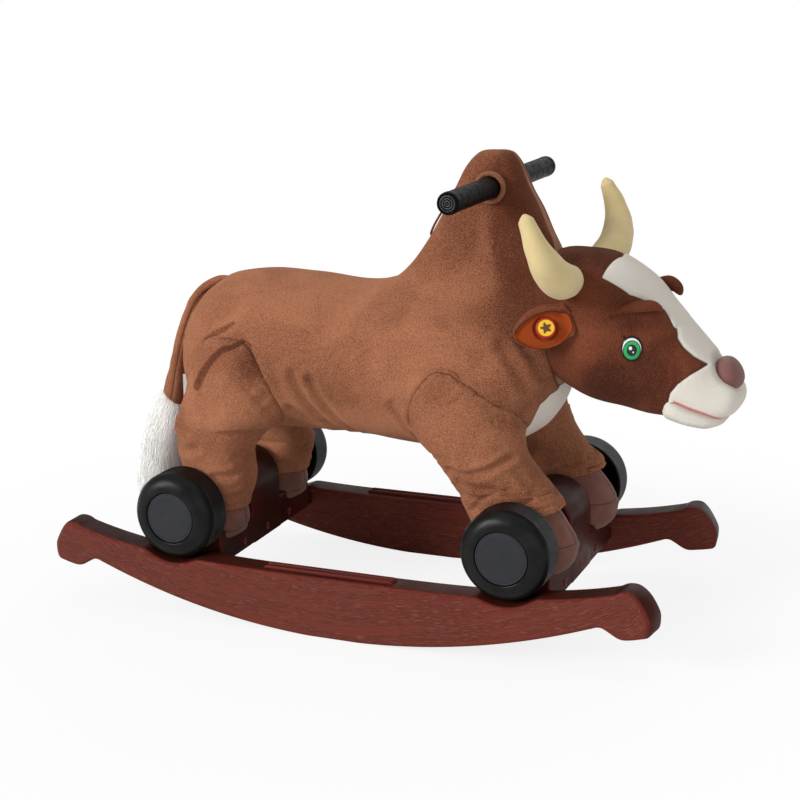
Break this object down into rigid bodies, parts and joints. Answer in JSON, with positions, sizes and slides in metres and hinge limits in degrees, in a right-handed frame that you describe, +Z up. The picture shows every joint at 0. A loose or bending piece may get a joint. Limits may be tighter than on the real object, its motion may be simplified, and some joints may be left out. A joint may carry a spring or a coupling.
{
  "type": "rocking animal",
  "caption": "Child's plush bull ride-on with handgrips, on wheels cradled by curved rocking runners, with an opening jaw, a swinging tail and a push badge in the ear.",
  "frame": {"origin": "on the ground plane, under the middle of the overall length and width, with the runners resting on their middle flats", "axes": "+X forwards from the tail to the nose, +Y to the animal's left, +Z up"},
  "size_m": [0.93, 0.3872, 0.629],
  "materials": {
    "runner_plastic": "satin",
    "wheel_plastic": "satin",
    "hub_plastic": "matte",
    "grip_rubber": "matte",
    "zinc_steel": "satin",
    "screw_steel": "satin",
    "brown_plush": "matte",
    "head_plush": "matte",
    "white_plush": "matte",
    "hoof_fabric": "matte",
    "horn_fabric": "matte",
    "nose_fabric": "matte",
    "eye_plastic": "gloss",
    "badge_plastic": "satin",
    "case_plastic": "matte"
  },
  "bodies": {
    "toy": {"right_runner": "runner_plastic", "left_runner": "runner_plastic", "front_crossbar_front_half": "runner_plastic", "front_crossbar_rear_half": "runner_plastic", "rear_crossbar_front_half": "runner_plastic", "rear_crossbar_rear_half": "runner_plastic", "front_crossbar_screw_1": "screw_steel", "front_crossbar_screw_2": "screw_steel", "front_crossbar_screw_3": "screw_steel", "rear_crossbar_screw_1": "screw_steel", "rear_crossbar_screw_2": "screw_steel", "rear_crossbar_screw_3": "screw_steel", "front_right_runner_screw": "zinc_steel", "front_left_runner_screw": "zinc_steel", "rear_right_runner_screw": "zinc_steel", "rear_left_runner_screw": "zinc_steel", "front_axle": "zinc_steel", "rear_axle": "zinc_steel", "front_leg_frame": "zinc_steel", "rear_leg_frame": "zinc_steel", "spine_tube": "zinc_steel", "handlebar": "zinc_steel", "right_grip": "grip_rubber", "left_grip": "grip_rubber", "body_plush": "brown_plush", "front_right_leg": "brown_plush", "front_left_leg": "brown_plush", "hind_right_leg": "brown_plush", "hind_left_leg": "brown_plush", "front_right_hoof": "hoof_fabric", "front_left_hoof": "hoof_fabric", "hind_right_hoof": "hoof_fabric", "hind_left_hoof": "hoof_fabric", "head_plush": "head_plush", "jaw_pin": "zinc_steel", "mouth_drive": "case_plastic", "nose": "nose_fabric", "right_eye": "eye_plastic", "left_eye": "eye_plastic", "right_horn": "horn_fabric", "left_horn": "horn_fabric", "right_ear": "head_plush", "left_ear": "head_plush", "ear_switch": "case_plastic", "tail_pin": "zinc_steel", "sound_box": "case_plastic", "battery_door": "case_plastic", "battery_door_screw": "zinc_steel"},
    "front_right_wheel_set": {"front_right_wheel": "wheel_plastic", "front_right_hub_cap": "hub_plastic"},
    "front_left_wheel_set": {"front_left_wheel": "wheel_plastic", "front_left_hub_cap": "hub_plastic"},
    "rear_right_wheel_set": {"rear_right_wheel": "wheel_plastic", "rear_right_hub_cap": "hub_plastic"},
    "rear_left_wheel_set": {"rear_left_wheel": "wheel_plastic", "rear_left_hub_cap": "hub_plastic"},
    "jaw": {"lower_jaw": "white_plush"},
    "tail": {"tail_stalk": "brown_plush", "tail_tuft": "white_plush"},
    "badge": {"ear_button": "badge_plastic"}
  },
  "joints": [
    {"name": "front_right_wheel_spin", "type": "hinge", "parent": "toy", "child": "front_right_wheel_set", "pos_m": [0.2055, -0.168, 0.1436], "axis": [0, 1, 0], "continuous": true},
    {"name": "front_left_wheel_spin", "type": "hinge", "parent": "toy", "child": "front_left_wheel_set", "pos_m": [0.2055, 0.168, 0.1436], "axis": [0, 1, 0], "continuous": true},
    {"name": "rear_right_wheel_spin", "type": "hinge", "parent": "toy", "child": "rear_right_wheel_set", "pos_m": [-0.2695, -0.168, 0.1436], "axis": [0, 1, 0], "continuous": true},
    {"name": "rear_left_wheel_spin", "type": "hinge", "parent": "toy", "child": "rear_left_wheel_set", "pos_m": [-0.2695, 0.168, 0.1436], "axis": [0, 1, 0], "continuous": true},
    {"name": "jaw_hinge", "type": "hinge", "parent": "toy", "child": "jaw", "pos_m": [0.38, 0, 0.309], "axis": [0, 1, 0], "range_deg": [0, 12], "stiffness_Nm_per_rad": 0.05, "springref_deg": -28.65},
    {"name": "tail_swing", "type": "hinge", "parent": "toy", "child": "tail", "pos_m": [-0.3105, 0, 0.4175], "axis": [1, 0, 0], "range_deg": [-20, 20]},
    {"name": "ear_badge_press", "type": "slide", "parent": "toy", "child": "badge", "axis": [-0.364, 0.8567, -0.3655], "range_m": [0, 0.002], "stiffness_N_per_m": 300, "springref_m": -0.001}
  ]
}
